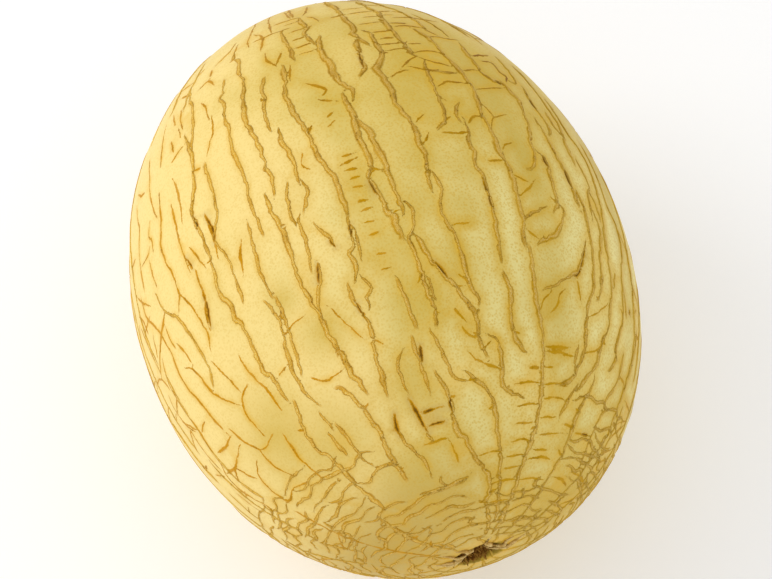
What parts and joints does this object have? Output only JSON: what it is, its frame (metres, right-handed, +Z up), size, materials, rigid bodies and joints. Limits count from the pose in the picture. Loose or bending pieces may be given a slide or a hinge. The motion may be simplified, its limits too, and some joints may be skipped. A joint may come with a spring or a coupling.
{
  "type": "netted melon",
  "caption": "Oval yellow melon with raised cork netting that runs lengthwise, a sunken stem scar and a small blossom scar, lying on its side.",
  "frame": {"origin": "middle of the bounding box's underside, on the surface that the melon lies on", "axes": "+Z up, +Y from the stem scar towards the blossom end along the fruit's length, +X across"},
  "size_m": [0.1622, 0.1954, 0.1557],
  "materials": {
    "netted_skin": "satin cream-yellow melon skin with fine pores, pale tan cork cords and orange-brown healed cracks, dark brown fibres in the stem scar"
  },
  "bodies": {
    "root": {"melon": "netted_skin"}
  },
  "joints": []
}
